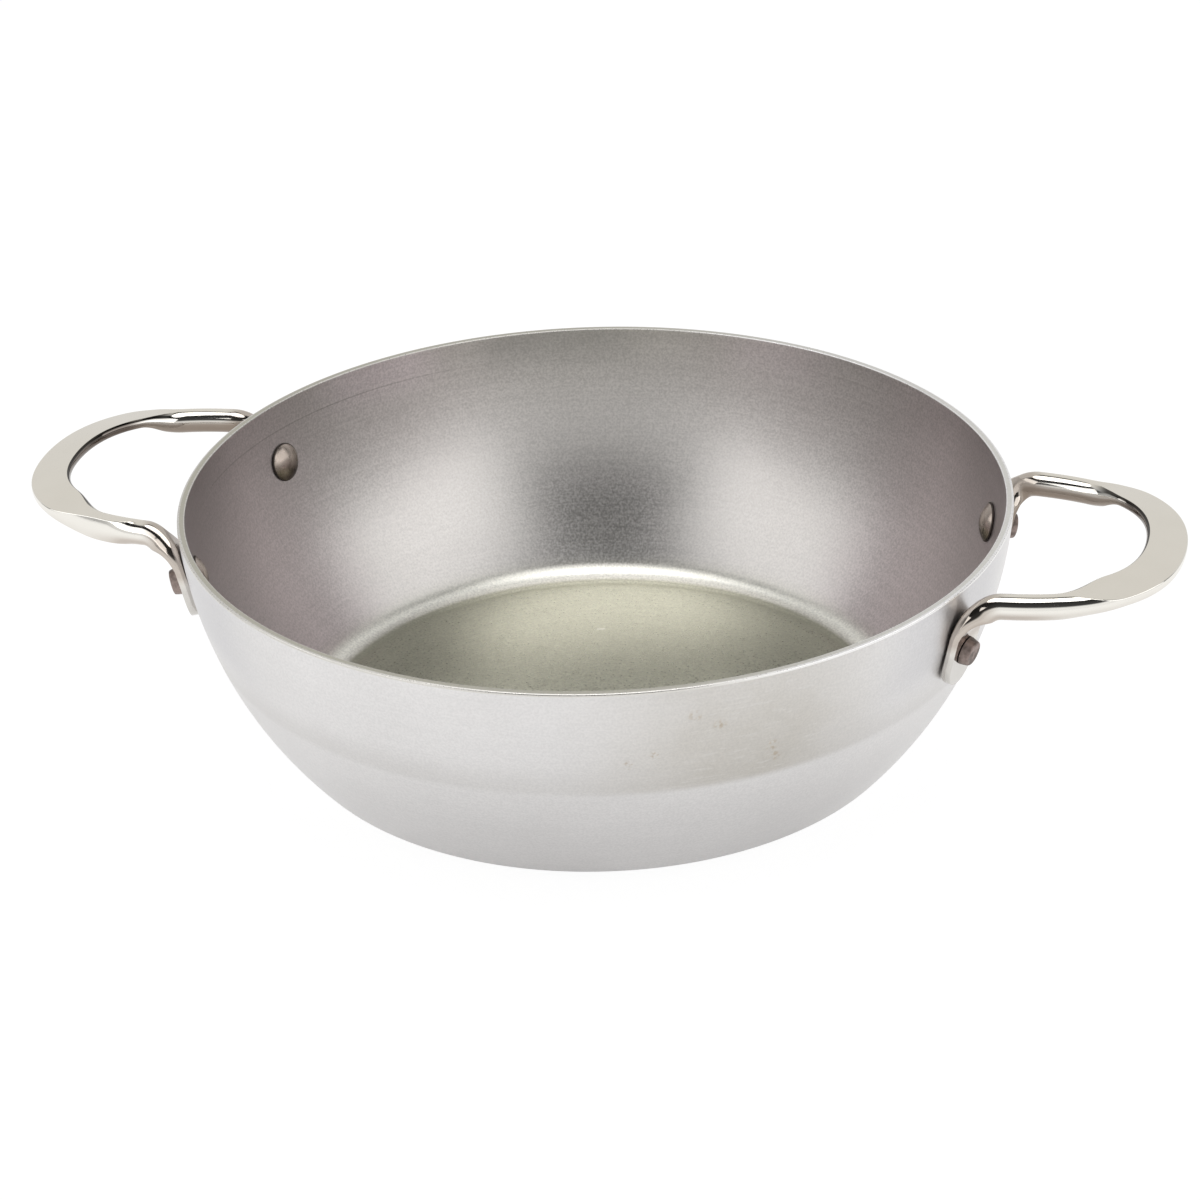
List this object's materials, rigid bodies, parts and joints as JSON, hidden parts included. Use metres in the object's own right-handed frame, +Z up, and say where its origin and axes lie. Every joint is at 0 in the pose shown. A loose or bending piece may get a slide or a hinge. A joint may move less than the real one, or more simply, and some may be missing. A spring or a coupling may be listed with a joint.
{
  "type": "braising pan",
  "caption": "Deep round steel braising pan with a curved flaring wall, a flat base and riveted loop handles of bent rod with flattened grips.",
  "frame": {"origin": "centre of the flat base, on the surface that the pan stands on", "axes": "+Z up, +X from the pan's middle out through the right handle, +Y to the rear"},
  "size_m": [0.4518, 0.32, 0.099],
  "materials": {
    "carbon_steel": "bare pressed carbon steel sheet, fine-grained and satin",
    "polished_steel": "polished stainless steel rod",
    "rivet_steel": "dull brown-grey steel"
  },
  "bodies": {
    "root": {"pan_body": "carbon_steel", "right_handle": "polished_steel", "left_handle": "polished_steel", "right_rear_rivet": "rivet_steel", "right_front_rivet": "rivet_steel", "left_rear_rivet": "rivet_steel", "left_front_rivet": "rivet_steel"}
  },
  "joints": []
}
